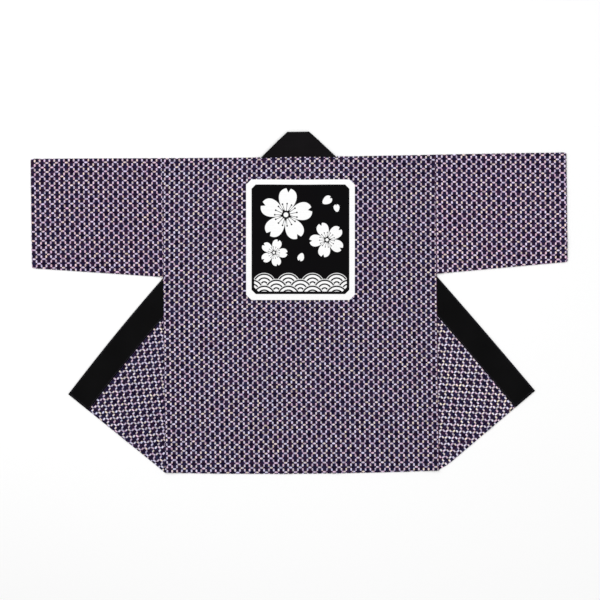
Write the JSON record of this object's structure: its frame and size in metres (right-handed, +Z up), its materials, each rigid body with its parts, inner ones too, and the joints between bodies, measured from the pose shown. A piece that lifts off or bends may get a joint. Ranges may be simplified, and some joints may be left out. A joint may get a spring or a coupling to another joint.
{
  "type": "happi coat",
  "caption": "Flat-laid short festival coat of indigo cotton with an all-over white lattice print, back up, straight sleeves and black collar band, fronts turned outward.",
  "frame": {"origin": "middle of the outline seen from above, on the surface that the coat lies on", "axes": "+X across the sleeves toward the wearer's right cuff, +Y from the hem to the collar, +Z up out of the back panel"},
  "size_m": [1.3292, 0.8494, 0.0067],
  "materials": {
    "printed_cotton": "matt plain-weave cotton, indigo with a fine white lattice print, and a framed black panel on the back",
    "black_cotton": "matt black cotton, folded double and pressed"
  },
  "bodies": {
    "root": {"back": "printed_cotton", "front_left": "printed_cotton", "front_right": "printed_cotton", "sleeve_left": "printed_cotton", "sleeve_right": "printed_cotton", "collar_neck": "black_cotton", "collar_left": "black_cotton", "collar_right": "black_cotton"}
  },
  "joints": []
}
